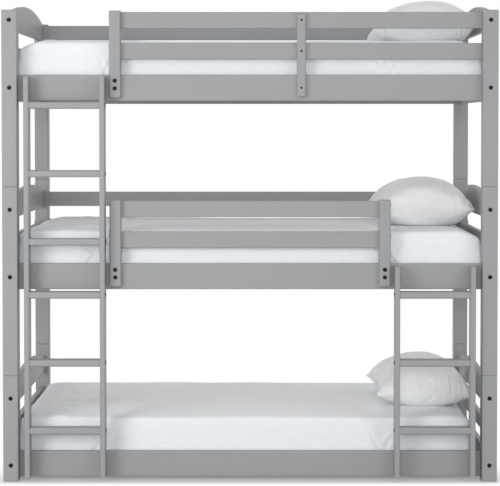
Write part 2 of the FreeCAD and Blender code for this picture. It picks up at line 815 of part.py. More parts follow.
def bolt_pattern(label, diameter, length):
    """A button head bolt standing on its tip, with a hexagon socket in its head."""
    radius = f"{diameter}/2"
    top = f"{length} + bolt_head_height"
    head = "bolt_head_diameter/2"
    steps = ((f"{radius} - bolt_tip/2", "0"), (radius, "bolt_tip/2"), (radius, length), (head, length),
             (head, f"{length} + bolt_head_height/2"), (f"{head} - bolt_head_height/2", top))
    socket = doc.addObject("Part::Prism", label + "_socket")
    socket.Polygon = SOCKET_SIDES
    bind(socket, Circumradius="socket_corners/2", Height="socket_depth")
    place(socket, "0", "0", f"{top} - socket_depth")
    bolt = doc.addObject("Part::Cut", label)
    bolt.Base = round_piece(label + "_blank", steps)
    bolt.Tool = socket
    doc.recompute()
    return bolt


def barrel_nut_pattern():
    """A barrel nut along Z, with its cross hole along X through its middle."""
    radius = "nut_diameter/2"
    body = round_piece("barrel_nut_pattern", ((radius, "0"), (radius, "nut_length")))
    bore = "bolt_diameter + 2*fit_clearance"
    holes(body, "X", "-nut_diameter", 1, [("0", "nut_length/2")], bore)
    return body


LEFT = FreeCAD.Vector(-1, 0, 0)
RIGHT = FreeCAD.Vector(1, 0, 0)
FRONT = FreeCAD.Vector(0, -1, 0)
BACK = FreeCAD.Vector(0, 1, 0)
UP = FreeCAD.Vector(0, 0, 1)


def standing(foot, outward):
    """The place of a piece whose foot is at a point and whose head points outward."""
    return FreeCAD.Placement(foot, FreeCAD.Rotation(UP, outward))


def frame_bolt_places():
    """Heads of the frame bolts, as pairs of the point under the head and the outward direction."""
    heads = []
    for x_way, end in ((-1, LEFT), (1, RIGHT)):
        for face, outward in (("front", FRONT), ("back", BACK)):
            post_y = size(face + "_face")
            inward = size("post_side") - size("rail_thick")
            rail_y = post_y - outward.y*(inward + size("rail_thick")/2)
            slat_y = post_y - outward.y*(inward + size("guard_slat_thick")/2)
            for tier in range(len(TIERS)):
                base = tier*size("tier_pitch")
                for lift in ("rail_centre", "arch_centre"):
                    point = FreeCAD.Vector(x_way*size("post_middle"), post_y, base + size(lift))
                    heads.append((point, outward))
                for turn in (-1, 1):
                    z = base + size("rail_centre") + turn*size("rail_bolt_spread")/2
                    heads.append((FreeCAD.Vector(x_way*size("half_length"), rail_y, z), end))
                side = "left" if x_way < 0 else "right"
                at_post = has_guard_bolts(side, face, tier)
                at_guard = face == "front" and side in guard_sides(tier)
                if at_post or at_guard:
                    x = x_way*size("half_length" if at_post else "guard_outer")
                    for lift in ("lower_guard_lift", "upper_guard_lift"):
                        z = base + size(lift) + size("slat_bolt_height")
                        heads.append((FreeCAD.Vector(x, slat_y, z), end))
    return heads


def make_frame_bolts():
    """All frame bolts, and the barrel nut near the tip of each."""
    heads = frame_bolt_places()
    bolt = bolt_pattern("frame_bolt_pattern", "bolt_diameter", "bolt_length")
    nut = barrel_nut_pattern()
    length = size("bolt_length")
    nut_reach = size("post_side") + size("nut_inset")
    bolts = []
    nuts = []
    for point, outward in heads:
        bolts.append(standing(point - outward*length, outward))
        lie = RIGHT if abs(outward.y) > abs(outward.x) else BACK
        turn = FreeCAD.Rotation(outward, FreeCAD.Vector(), lie, "ZXY")
        foot = point - outward*nut_reach - lie*(size("nut_length")/2)
        nuts.append(FreeCAD.Placement(foot, turn))
    copies("frame_bolts", bolt, bolts)
    copies("barrel_nuts", nut, nuts)


def make_guard_post_bolts():
    """The bolts that hold the guard posts to the front rails."""
    bolt = bolt_pattern("guard_post_bolt_pattern", "bolt_diameter", "guard_bolt_length")
    spots = []
    for tier in range(len(TIERS)):
        for side in guard_sides(tier):
            x = measure(guard_post_middle(side)) - size("half_span")
            for step in (0, 1):
                lift = size("guard_bolt_lift") + step*size("guard_bolt_spread")
                y = size("guard_face") + size("guard_bolt_length")
                foot = FreeCAD.Vector(x, y, tier*size("tier_pitch") + lift)
                spots.append(standing(foot, FRONT))
    copies("guard_post_bolts", bolt, spots)


def make_ladder_bolts():
    """The bolts through the stiles into the rungs, and through the front rails into the stiles."""
    bolt = bolt_pattern("ladder_bolt_pattern", "bolt_diameter", "ladder_bolt_length")
    length = size("ladder_bolt_length")
    spots = []
    for side, away in (("left", LEFT), ("right", RIGHT)):
        y = size("stile_face") + size("rung_inset") + size("rung_depth")/2
        for height in rung_heights(side):
            for edge, outward in (("ladder_outer", away), ("ladder_inner", away*-1)):
                face = FreeCAD.Vector(away.x*size(edge), y, measure(height))
                spots.append(standing(face - outward*length, outward))
        for tier in range(ladder_tiers(side) + 1):
            z = tier*size("tier_pitch") + size("rail_lift") + size("ladder_bolt_rise")
            for middle in stile_middles(side):
                x = measure(middle) - size("half_span")
                foot = FreeCAD.Vector(x, size("inner_front") - length, z)
                spots.append(standing(foot, BACK))
    copies("ladder_bolts", bolt, spots)


def make_dowels():
    """Dowels up through the post joints, and in the ends of the middle end rails."""
    radius = "dowel_diameter/2"
    blunt = f"{radius} - joint_bevel"
    shoulder = "dowel_length - joint_bevel"
    steps = ((blunt, "0"), (radius, "joint_bevel"), (radius, shoulder), (blunt, "dowel_length"))
    dowel = round_piece("dowel_pattern", steps)
    half = size("dowel_length")/2
    spots = []
    for x in (-size("post_middle"), size("post_middle")):
        for inner, inward in (("inner_front", BACK), ("inner_back", FRONT)):
            y = size(inner) - inward.y*size("post_side")/2
            for tier in range(len(TIERS)):
                z = tier*size("tier_pitch") + size("middle_rail_centre")
                spots.append(standing(FreeCAD.Vector(x, size(inner), z) - inward*half, inward))
                if tier > 0:
                    joint = measure(post_base(tier)) - half
                    spots.append(standing(FreeCAD.Vector(x, y, joint), UP))
    copies("dowels", dowel, spots)


def make_wood_screws():
    """The screws through the bed slats into the ledgers, and through the batten into the guard."""
    shank = "screw_diameter/2"
    head = "screw_head_diameter/2"
    top = "screw_length + screw_head_height"
    steps = ((shank, "0"), (shank, "screw_length"), (head, "screw_length"), (head, top))
    screw = round_piece("wood_screw_pattern", steps)
    length = measure(top)
    spots = []
    inset = size("slat_end_gap") + size("screw_inset")
    rows = (size("inner_front") + inset, size("inner_back") - inset)
    for tier in range(len(TIERS)):
        z = tier*size("tier_pitch") + size("slat_top") - length
        for step in range(int(size("slat_count"))):
            x = size("first_slat") + size("slat_width")/2 + step*size("slat_pitch")
            spots += [standing(FreeCAD.Vector(x, y, z), UP) for y in rows]
    base = (len(TIERS) - 1)*size("tier_pitch")
    y = size("front_rail_face") - size("batten_thick") + length
    half_slat = size("guard_slat_height")/2
    lifts = [size("rail_centre")]
    lifts += [size(lift) + half_slat for lift in ("lower_guard_lift", "upper_guard_lift")]
    for lift in lifts:
        foot = FreeCAD.Vector(size("batten_middle"), y, base + lift)
        spots.append(standing(foot, FRONT))
    copies("wood_screws", screw, spots)


def make_bed():
    """Every sub-part, from the posts to the last screw."""
    for tier in range(len(TIERS)):
        for side in ("left", "right"):
            for face in ("front", "back"):
                make_post(side, face, tier)
            make_end_rails(side, tier)
            make_arched_rail(side, tier)
        for face in ("front", "back"):
            make_side_rail(face, tier)
        make_ledgers(tier)
        make_slats(tier)
        make_mattress(tier)
        make_pillow(tier)
        for side in guard_sides(tier):
            make_guard_post(side, tier)
        if tier > 0:
            make_guard_slats("front", tier)
            make_guard_slats("back", tier)
    make_batten()
    for side in ("left", "right"):
        make_stiles(side)
        make_rungs(side)
    make_frame_bolts()
    make_guard_post_bolts()
    make_ladder_bolts()
    make_dowels()
    make_wood_screws()


def write_nodes():
    """Check every object and every node's shape, then write one file per node."""
    doc.recompute()
    failed = [item.Label for item in doc.Objects if {"Invalid", "Error"} & set(item.State)]
    bad = [node.Label for node in nodes if node.Shape.isNull() or not node.Shape.isValid()]
    if failed or bad:
        raise ValueError(f"failed objects: {failed}, bad shapes: {bad}")
    os.makedirs("parts", exist_ok=True)
    for node in nodes:
        node.Shape.exportStep(os.path.join("parts", node.Label + ".step"))
        print(node.Label, len(node.Shape.Solids), "solids", round(node.Shape.Volume), "mm3")


fill_sheet()
make_bed()
write_nodes()
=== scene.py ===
# %% [markdown]
# # A triple bunk bed: grey paint, black bolts and white cotton
# The bed is a stack of bunks on square posts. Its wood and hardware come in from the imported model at
# their real size, so this lesson adds only looks: a finish for every surface, and soft bedding in place
# of the plain solids that the model carries for its mattresses and pillows.

# %% Load the frame
import json
import math

import bmesh
import bpy
import numpy as np
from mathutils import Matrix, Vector, noise


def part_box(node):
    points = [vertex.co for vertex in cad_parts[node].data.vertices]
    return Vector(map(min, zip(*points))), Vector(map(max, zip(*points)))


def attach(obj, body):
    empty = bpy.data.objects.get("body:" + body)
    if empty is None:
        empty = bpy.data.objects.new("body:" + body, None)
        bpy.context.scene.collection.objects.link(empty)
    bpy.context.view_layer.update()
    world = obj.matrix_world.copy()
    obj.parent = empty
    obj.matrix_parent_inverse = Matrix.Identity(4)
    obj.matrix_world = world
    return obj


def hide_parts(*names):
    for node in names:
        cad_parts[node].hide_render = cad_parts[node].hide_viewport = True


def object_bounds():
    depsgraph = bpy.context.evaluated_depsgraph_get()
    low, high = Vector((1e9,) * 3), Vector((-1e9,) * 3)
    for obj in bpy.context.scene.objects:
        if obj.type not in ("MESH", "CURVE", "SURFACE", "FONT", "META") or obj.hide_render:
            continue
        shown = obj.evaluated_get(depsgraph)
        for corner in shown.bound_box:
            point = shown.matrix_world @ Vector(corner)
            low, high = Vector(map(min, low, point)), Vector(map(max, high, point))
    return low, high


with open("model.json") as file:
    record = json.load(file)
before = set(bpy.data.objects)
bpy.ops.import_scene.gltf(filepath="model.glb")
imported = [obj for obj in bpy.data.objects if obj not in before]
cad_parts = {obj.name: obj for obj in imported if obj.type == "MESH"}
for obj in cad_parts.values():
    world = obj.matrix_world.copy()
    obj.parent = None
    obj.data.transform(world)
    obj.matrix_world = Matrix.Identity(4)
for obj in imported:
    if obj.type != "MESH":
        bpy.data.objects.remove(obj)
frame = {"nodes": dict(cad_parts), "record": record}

nodes = frame["nodes"]
scene = bpy.context.scene
cad_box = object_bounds()
MM = 0.001
TIERS = ("bottom", "middle", "top")
print(len(nodes), "nodes in a box", [[round(v, 3) for v in corner] for corner in cad_box])

# %% [markdown]
# ## Two small tools for materials
# Colours are easiest to judge as sRGB hex values, but a shader works in linear light, so one function
# converts them. Shader trees could be wired by hand in the editor. Here one function adds a node, sets
# its values, links its inputs and colours a ramp's stops, which keeps each recipe short enough to read.

# %% Colour and node helpers
def linear(code):
    """Linear RGBA of an sRGB hex value such as #A8AAAB."""
    channels = [int(code[i:i + 2], 16)/255 for i in (1, 3, 5)]
    return (*[c/12.92 if c <= 0.04045 else ((c + 0.055)/1.055)**2.4 for c in channels], 1.0)


def add(tree, kind, inputs=None, stops=(), **settings):
    """Add a node. An input is a value or another node's output, and stops are a ramp's hex colours."""
    node = tree.nodes.new("ShaderNode" + kind)
    for name, value in settings.items():
        setattr(node, name, value)
    for name, value in (inputs or {}).items():
        if isinstance(value, bpy.types.NodeSocket):
            tree.links.new(value, node.inputs[name])
        else:
            node.inputs[name].default_value = value
    if stops:
        elements = node.color_ramp.elements
        while len(elements) < len(stops):
            elements.new(1.0)
        for element, (position, code) in zip(elements, stops):
            element.position = position
            element.color = linear(code)
    return node


def new_tree(name):
    """An empty material and its node tree."""
    material = bpy.data.materials.new(name)
    material.use_nodes = True
    material.node_tree.nodes.clear()
    return material, material.node_tree


def surface(tree, **inputs):
    """The material's shader and output; underscores stand for the spaces in its inputs' names."""
    sockets = {name.replace("_", " "): value for name, value in inputs.items()}
    shader = add(tree, "BsdfPrincipled", sockets).outputs["BSDF"]
    add(tree, "OutputMaterial", {"Surface": shader})


print("a mid grey in linear light:", round(linear("#808080")[0], 3))

# %% [markdown]
# ## Patterns at their real size
# A texture's scale means nothing by itself. The model is in metres, so dividing the coordinates by a
# real size, such as the width of a growth ring, makes one step of the pattern that size. Grain is far
# longer than it is wide, so each pattern has two sizes, one along the board and one across it.

# %% Sized patterns
def sized(tree, along, long_size, cross_size):
    """Coordinates in which one step is long_size along an axis and cross_size across it."""
    place = add(tree, "TexCoord").outputs["Object"]
    scale = [1/cross_size]*3
    scale["XYZ".index(along)] = 1/long_size
    return add(tree, "Mapping", {"Vector": place, "Scale": scale}).outputs["Vector"]


def pattern(tree, kind, along, long_size, cross_size, **inputs):
    """The outputs of a texture of any kind, drawn at its real size."""
    where = sized(tree, along, long_size, cross_size)
    return add(tree, "Tex" + kind, {"Vector": where, "Scale": 1.0, **inputs}).outputs


print("a pattern of 1 mm has", round(1/MM), "steps to the metre")

# %% [markdown]
# ## Satin lacquer on pine
# The posts, rails, guards and ladders are solid pine, sprayed with a satin lacquer. The eye gets an even
# grey, a soft broad highlight, and just a trace of grain telegraphing along each board. One material
# could serve the whole frame, but grain follows the length of a board, so there is one per direction.

# %% Paint
# Sizes of the patterns along the board and across it.
GRAIN = (180*MM, 5*MM)
PATCH = (600*MM, 250*MM)


def satin_lacquer(along):
    """Grey satin lacquer sprayed on planed pine whose grain runs along one axis."""
    material, tree = new_tree(f"satin_lacquer_sprayed_on_pine_{along}")
    grain = pattern(tree, "Noise", along, *GRAIN, Detail=3.0)["Fac"]
    patch = pattern(tree, "Noise", along, *PATCH, Detail=1.0)["Fac"]
    tone = add(tree, "Math", {0: grain, 1: patch}, operation="MULTIPLY").outputs["Value"]
    gloss = add(tree, "MapRange", {"Value": grain, "To Min": 0.40, "To Max": 0.52}).outputs["Result"]
    bump = add(tree, "Bump", {"Height": grain, "Strength": 0.06, "Distance": 0.4*MM}).outputs["Normal"]
    colour = add(tree, "ValToRGB", {"Fac": tone}, stops=((0.14, "#959799"), (0.38, "#98999B")))
    surface(tree, Base_Color=colour.outputs["Color"], Roughness=gloss, Normal=bump, IOR=1.5)
    return material


lacquer = {along: satin_lacquer(along) for along in "XYZ"}
print("paint:", [material.name for material in lacquer.values()])

# %% [markdown]
# ## Bare pine
# Slats, ledgers and dowels stay bare, because nobody sees them once the mattress is on. Planed pine is
# pale cream with darker late-wood bands some 8 mm apart. A wave texture could draw the bands, but they
# would be too even, so the sine of a stretched noise lets them wander. A finer noise gives the fibre.

# %% Pine
RINGS = (420*MM, 14*MM)
FIBRE = (60*MM, 1.5*MM)
# How many radians the sine turns over the whole range of the noise.
BAND_TURN = 26.0


def planed_pine(along):
    """Planed bare pine: cream early wood, straw late wood, fine fibre along one axis."""
    material, tree = new_tree(f"planed_bare_pine_{along}")
    rings = pattern(tree, "Noise", along, *RINGS, Detail=2.0)["Fac"]
    bands = add(tree, "Math", {0: rings, 1: BAND_TURN}, operation="MULTIPLY").outputs["Value"]
    wave = add(tree, "Math", {0: bands}, operation="SINE").outputs["Value"]
    late = add(tree, "MapRange", {"Value": wave, "From Min": -1.0}).outputs["Result"]
    fibre = pattern(tree, "Noise", along, *FIBRE, Detail=2.0)["Fac"]
    tone = add(tree, "Math", {0: late, 1: fibre}, operation="MULTIPLY").outputs["Value"]
    gloss = add(tree, "MapRange", {"Value": fibre, "To Min": 0.55, "To Max": 0.75}).outputs["Result"]
    bump = add(tree, "Bump", {"Height": fibre, "Strength": 0.2, "Distance": 0.3*MM}).outputs["Normal"]
    wood = ((0.0, "#F2ECE1"), (0.35, "#EBE2D1"), (0.75, "#D8C8AC"))
    colour = add(tree, "ValToRGB", {"Fac": tone}, stops=wood).outputs["Color"]
    surface(tree, Base_Color=colour, Roughness=gloss, Normal=bump, IOR=1.5)
    return material


pine = {along: planed_pine(along) for along in "XY"}
print("pine:", [material.name for material in pine.values()])

# %% [markdown]
# ## Bolts, screws and nuts
# The bolts are steel with a black oxide skin, which is a chemical stain rather than a coat of paint, so
# the metal still shows as a dull sheen. The barrel nuts are zinc plated and show crystals a few
# millimetres wide. Both keep a metal's default IOR.

# %% Metals
MOTTLE = (3*MM, 3*MM)
CRYSTAL = (4*MM, 4*MM)


def oxide_steel():
    """Black oxide steel, tumbled, so its dull sheen is uneven."""
    material, tree = new_tree("black_oxide_tumbled_steel")
    mottle = pattern(tree, "Noise", "Z", *MOTTLE, Detail=3.0)["Fac"]
    gloss = add(tree, "MapRange", {"Value": mottle, "To Min": 0.3, "To Max": 0.5}).outputs["Result"]
    colour = add(tree, "ValToRGB", {"Fac": mottle}, stops=((0.3, "#1C1D1F"), (0.7, "#2B2C2E")))
    surface(tree, Base_Color=colour.outputs["Color"], Roughness=gloss, Metallic=1.0)
    return material


def zinc_plate():
    """Zinc plate, dulled in a chromate bath, with a faint crystal pattern."""
    material, tree = new_tree("dull_chromated_zinc_plated_steel")
    facet = pattern(tree, "Voronoi", "Z", *CRYSTAL)["Distance"]
    gloss = add(tree, "MapRange", {"Value": facet, "To Min": 0.4, "To Max": 0.55}).outputs["Result"]
    colour = add(tree, "ValToRGB", {"Fac": facet}, stops=((0.0, "#A8ACB0"), (1.0, "#989CA0")))
    surface(tree, Base_Color=colour.outputs["Color"], Roughness=gloss, Metallic=1.0)
    return material


steel = oxide_steel()
zinc = zinc_plate()
print("metals:", steel.name, zinc.name)

# %% [markdown]
# ## Each board gets the grain of its own length
# A finish could be chosen from a list of names. The model already knows more: a board's longest side is
# the way its grain runs, and the record says which slot a node is finished from. Rungs and slats are
# many solids in one node, so the name decides for those.

# %% Finish the hard parts
SLOT_OF = {part["node"]: part["material_slot"] for part in frame["record"]["subparts"]}


def grain_axis(name):
    """The axis that a board runs along."""
    if "slats" in name and "guard" not in name:
        return "Y"
    if "rungs" in name:
        return "X"
    low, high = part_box(name)
    spans = high - low
    return "XYZ"[max(range(3), key=lambda axis: spans[axis])]


def finish_of(name):
    """The material of a hard node, from its slot in the record."""
    slot = SLOT_OF[name]
    if slot == "grey_paint":
        return lacquer[grain_axis(name)]
    if slot == "bare_pine":
        return pine["Y" if grain_axis(name) == "Y" else "X"]
    return zinc if slot == "zinc_steel" else steel


soft_names = [f"{tier}_{piece}" for tier in TIERS for piece in ("mattress", "pillow")]
for name, node in nodes.items():
    if name not in soft_names:
        node.data.materials.clear()
        node.data.materials.append(finish_of(name))
print(len(nodes) - len(soft_names), "hard nodes finished")

# %% [markdown]
# ## Cotton percale
# Sheets and pillow cases are cotton percale, a plain weave: each thread goes over one and under one.
# That gives a matt white with a faint bloom at glancing angles. Real threads are about 0.25 mm apart,
# far too fine to show here, so the weave is drawn at 3 mm, only as a tooth in the bump. A slub is a
# thicker stretch of yarn, which lets the white vary a little.

# %% Cotton
WEAVE = (3*MM, 3*MM)
SLUB = (40*MM, 15*MM)


def percale(name, light, shade):
    """White cotton percale, plain woven and washed soft."""
    material, tree = new_tree(name)
    axes = add(tree, "SeparateXYZ", {"Vector": sized(tree, "X", *WEAVE)}).outputs
    threads = []
    for axis in "XYZ":
        turns = add(tree, "Math", {0: axes[axis], 1: 2*math.pi}, operation="MULTIPLY").outputs["Value"]
        threads.append(add(tree, "Math", {0: turns}, operation="SINE").outputs["Value"])
    plain = add(tree, "Math", {0: threads[0], 1: threads[1]}, operation="MULTIPLY").outputs["Value"]
    weave = add(tree, "Math", {0: plain, 1: threads[2]}, operation="ADD").outputs["Value"]
    slub = pattern(tree, "Noise", "X", *SLUB, Detail=3.0)["Fac"]
    height = add(tree, "Math", {0: weave, 1: slub}, operation="ADD").outputs["Value"]
    bump = add(tree, "Bump", {"Height": height, "Strength": 0.1, "Distance": 0.5*MM}).outputs["Normal"]
    gloss = add(tree, "MapRange", {"Value": slub, "To Min": 0.8, "To Max": 0.95}).outputs["Result"]
    colour = add(tree, "ValToRGB", {"Fac": slub}, stops=((0.3, shade), (0.7, light))).outputs["Color"]
    surface(tree, Base_Color=colour, Roughness=gloss, Normal=bump, IOR=1.46,
            Sheen_Weight=0.15, Sheen_Roughness=0.5)
    return material


sheet_cotton = percale("cotton_percale_fitted_sheet", "#EDF0F4", "#E8EBEF")
case_cotton = percale("cotton_percale_pillow_case", "#F3F4F4", "#EEEFEF")
print("cotton:", sheet_cotton.name, case_cotton.name)

# %% [markdown]
# ## Meshes as arrays of points
# Bending thousands of points one by one is slow and hard to read. Read into an array, they can all be
# bent by one formula and written back. Two curves serve all the shapes below: an easy step from 0 to 1,
# and a soft random field whose bumps have a real size along each axis.

# %% Mesh helpers
TINY = 1e-9
SEED_STEP = 17.3


def points_of(mesh):
    """The vertices of a mesh as an array."""
    flat = np.empty(len(mesh.vertices)*3)
    mesh.vertices.foreach_get("co", flat)
    return flat.reshape(-1, 3)


def set_points(mesh, points):
    """Write an array back to the vertices of a mesh."""
    mesh.vertices.foreach_set("co", np.ascontiguousarray(points).ravel())
    mesh.update()


def normals_of(mesh):
    """The vertex normals of a mesh as an array."""
    return np.array([vertex.normal for vertex in mesh.vertices])


def corners_of(node):
    """The lowest and highest corners of a node as arrays."""
    return [np.array(corner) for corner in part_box(node)]


def new_piece(name, mesh):
    """A new object in the scene."""
    piece = bpy.data.objects.new(name, mesh)
    scene.collection.objects.link(piece)
    return piece


def smooth_step(values, low, high):
    """0 below low, 1 above high and an easy curve between."""
    share = np.clip((values - low)/(high - low), 0, 1)
    return share*share*(3 - 2*share)


def field(points, sizes, seed):
    """Soft random values from -1 to 1 at the points, with a feature size along each axis."""
    scaled = points/np.array(sizes) + seed*SEED_STEP
    return np.array([noise.noise(Vector(spot)) for spot in scaled])


print("an easy step is at", float(smooth_step(np.array(0.25), 0, 1)), "after a quarter of the way")

# %% [markdown]
# ## Simulating soft goods
# Padding could be sculpted by hand, but cloth under pressure finds its own folds. Each soft piece is run
# through Blender's cloth for some 15 frames with gravity off and a little air inside, and the result is
# kept as plain points. A cap on how far a point may move keeps the piece in the room that it has.

# %% Cloth helpers
CLOTH_QUALITY = 5


def evaluated(piece):
    """A new mesh of the piece as its modifiers leave it."""
    graph = bpy.context.evaluated_depsgraph_get()
    return bpy.data.meshes.new_from_object(piece.evaluated_get(graph))


def subdivided(piece):
    """Replace the piece's mesh by the same mesh after one subdivision."""
    modifier = piece.modifiers.new("subdivision", "SUBSURF")
    modifier.levels = 1
    mesh = evaluated(piece)
    piece.modifiers.remove(modifier)
    piece.data = mesh


def inflate(piece, frames, cap, pressure, stiffness, bending, grow):
    """Blow the piece up as cloth for some frames, moving no point further than the cap."""
    modifier = piece.modifiers.new("cloth", "CLOTH")
    cloth = modifier.settings
    cloth.quality = CLOTH_QUALITY
    cloth.use_pressure = True
    cloth.uniform_pressure_force = pressure
    cloth.tension_stiffness = cloth.compression_stiffness = stiffness
    cloth.bending_stiffness = bending
    cloth.shrink_min = -grow
    cloth.effector_weights.gravity = 0
    if piece.vertex_groups:
        cloth.vertex_group_mass = piece.vertex_groups[0].name
    modifier.point_cache.frame_end = frames
    for step in range(1, frames + 1):
        scene.frame_set(step)
    start = points_of(piece.data)
    moves = points_of(evaluated(piece)) - start
    lengths = np.linalg.norm(moves, axis=1, keepdims=True)
    moves *= np.minimum(1.0, cap/np.maximum(lengths, TINY))
    piece.modifiers.remove(modifier)
    scene.frame_set(1)
    set_points(piece.data, start + moves)
    furthest = round(float(lengths.max())/MM)
    print(piece.name, len(start), "points moved up to", furthest, "mm before the cap")


def dress(piece, node, cotton):
    """Finish a soft piece and let it stand for its solid."""
    piece.data.materials.clear()
    piece.data.materials.append(cotton)
    piece.data.polygons.foreach_set("use_smooth", [True]*len(piece.data.polygons))
    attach(piece, node)
    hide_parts(node)
    print(piece.name, len(piece.data.polygons), "faces")


print("soft pieces are simulated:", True)

# %% [markdown]
# ## Mattresses in fitted sheets
# A mattress is a foam block about 150 mm thick, and its sheet is a bag of cotton held by elastic under
# the edge. So the lower edge is crisp and stays where it is, the upper edge is soft, and the ends sag
# where the foam is unsupported. The block starts as a box of even quads, a little smaller than its
# solid, and is then inflated as cloth. The quads are 20 mm, because a bed this large would be too slow
# to simulate with the 5 mm of a cushion.

# %% Mattress block
CELL = 20*MM
TOP_ROUND, FOOT_ROUND = 14*MM, 6*MM
SIDE_INSET, TOP_INSET = 2*MM, 4*MM
# The elastic holds this much of the sheet, from the lower edge up.
HELD = 25*MM
# How far the left and right ends sag, and how far they stand above the solid.
END_SAG = {"bottom": (10*MM, 10*MM), "middle": (12*MM, 34*MM), "top": (34*MM, 34*MM)}
END_RISE = {"bottom": (7*MM, 3*MM), "middle": (5*MM, 0*MM), "top": (8*MM, 8*MM)}
END_SAG_REACH, END_SAG_BEND = 100*MM, 1.7
BACK_RISE = 4*MM


def quad_box(name, low, high, cell):
    """A closed box of near square quads, cut from a unit cube."""
    mesh = bmesh.new()
    bmesh.ops.create_cube(mesh, size=1)
    for axis in range(3):
        along = [edge for edge in mesh.edges if round(abs((edge.verts[0].co - edge.verts[1].co)[axis]))]
        cuts = round((high[axis] - low[axis])/cell) - 1
        bmesh.ops.subdivide_edges(mesh, edges=along, cuts=cuts, use_grid_fill=True)
    data = bpy.data.meshes.new(name)
    mesh.to_mesh(data)
    mesh.free()
    set_points(data, (low + high)/2 + points_of(data)*(high - low))
    return new_piece(name, data)


def rounded(points, low, high, radius):
    """Pull the points of a box onto edges and corners of a given radius at each point."""
    reach = radius[:, None]
    core = np.clip(points, low + reach, high - reach)
    away = points - core
    return core + away*reach/np.maximum(np.linalg.norm(away, axis=1, keepdims=True), TINY)


def mattress_block(node, end_sag, end_rise):
    """The foam block before its sheet is inflated, from what its left and right ends do."""
    low, high = corners_of(node)
    piece = quad_box(node + "_sheet", low, high, CELL)
    points = points_of(piece.data)
    rise = smooth_step(points[:, 2], low[2] + HELD, high[2] - TOP_ROUND)
    points = rounded(points, low, high, FOOT_ROUND + (TOP_ROUND - FOOT_ROUND)*rise)
    middle, half = (low + high)/2, (high - low)/2
    inset = SIDE_INSET*rise
    points[:, :2] = middle[:2] + (points[:, :2] - middle[:2])*(1 - inset[:, None]/half[:2])
    from_end = half[0] - np.abs(points[:, 0] - middle[0])
    sag = np.where(points[:, 0] < middle[0], *end_sag)
    sag *= (1 - np.clip(from_end/END_SAG_REACH, 0, 1))**END_SAG_BEND
    along, back = ((points[:, axis] - low[axis])/(2*half[axis]) for axis in (0, 1))
    plump = np.interp(along, (0, 1), end_rise) + BACK_RISE*back
    points[:, 2] += (plump - sag - TOP_INSET)*rise
    set_points(piece.data, points)
    held = piece.vertex_groups.new(name="held")
    held.add(np.flatnonzero(points[:, 2] < low[2] + HELD).tolist(), 1.0, "REPLACE")
    return piece


print("a mattress starts", round(SIDE_INSET/MM), "mm inside its solid")

# %% [markdown]
# ## Creases
# A crease is a narrow valley with a low ridge beside it. It could be painted as bump, but a fold that
# shows at the edge of a form has to be geometry. Each crease is a line on the sheet, and points near it
# move along their normals by a curve of their distance from it. A fitted sheet gathers them in small
# fans on its long sides, where the elastic of each corner ends, and the spare cloth folds into a flap.

# %% Crease tools
CREASE_WIDTH = 9*MM
# The share of a crease that fades out at each end, and its ridge's height and place beside the valley.
CREASE_TIP_SHARE, RIDGE_SHARE, RIDGE_AWAY_SHARE = 0.02, 0.7, 1.7
# Each crease of a fan: how far its head leans, the share of the side's height that it climbs, its depth.
FAN = ((120*MM, 0.95, 4.0*MM), (50*MM, 0.80, 3.5*MM), (-40*MM, 0.62, 3.0*MM))
FAN_SHIFT, FAN_FOOT_SHARE = 15*MM, 0.08
# A flap's tip lies this far up, its edges leave the tip at two slopes, and it fades towards the end.
TUCK_RISE, TUCK_EDGE, TUCK_REACH, TUCK_SKIN = 52*MM, 4*MM, 140*MM, 30*MM
TUCK_UP, TUCK_DOWN, TUCK_FULL_SHARE = 0.8, 1.25, 0.3


def crease(points, start, end, depth):
    """How far each point moves out for a crease between two places: a valley with a ridge beside it."""
    start, end = np.array(start), np.array(end)
    run = end - start
    share = np.clip((points - start) @ run/(run @ run), 0, 1)
    away = np.linalg.norm(points - start - share[:, None]*run, axis=1)/CREASE_WIDTH
    fade = np.sqrt(np.sin(np.pi*np.clip(share, CREASE_TIP_SHARE, 1 - CREASE_TIP_SHARE)))
    valley = -np.exp(-away**2)
    ridge = RIDGE_SHARE*np.exp(-(away - RIDGE_AWAY_SHARE)**2)
    return depth*fade*(valley + ridge)


def corner_fan(points, x, way, low, high, face, seed):
    """Creases that fan out on a long side of the sheet, where the elastic of a corner ends."""
    moves = np.zeros(len(points))
    tall = high[2] - low[2]
    generator = np.random.default_rng(seed)
    for lean, top_share, depth in FAN:
        shift = generator.uniform(-FAN_SHIFT, FAN_SHIFT)
        foot = (x + shift, face, low[2] + FAN_FOOT_SHARE*tall)
        head = (x + shift + way*lean, face, low[2] + top_share*tall)
        moves += crease(points, foot, head, depth)
    return moves


def tuck(points, x, way, low, face, depth):
    """A folded flap beside the fan: a wedge with a clear edge that fades towards the mattress's end."""
    across = way*(x - points[:, 0])
    up = points[:, 2] - low[2] - TUCK_RISE
    inside = np.minimum(TUCK_UP*across - up, TUCK_DOWN*across + up)
    edge = smooth_step(inside, -TUCK_EDGE, TUCK_EDGE)
    fade = 1 - smooth_step(across, TUCK_FULL_SHARE*TUCK_REACH, TUCK_REACH)
    return depth*edge*fade*np.exp(-((points[:, 1] - face)/TUCK_SKIN)**2)


def finer(piece, chosen):
    """Halve the quads of the piece whose middle the test picks out."""
    mesh = bmesh.new()
    mesh.from_mesh(piece.data)
    faces = [face for face in mesh.faces if chosen(face.calc_center_median(), face.normal)]
    edges = {edge for face in faces for edge in face.edges}
    bmesh.ops.subdivide_edges(mesh, edges=list(edges), cuts=1, use_grid_fill=True)
    mesh.to_mesh(piece.data)
    mesh.free()


print("creases are", round(CREASE_WIDTH/MM), "mm wide, tucks start", round(TUCK_RISE/MM), "mm up")

# %% [markdown]
# ## Wrinkles in a sheet
# A sheet lies in long shallow wrinkles across its top and ripples a little in its sides. It is loosest
# near its left end, so small puckers lie there, and they fade before they reach an edge, because they
# would make it look wavy. All three are random fields, each with its own size and depth.

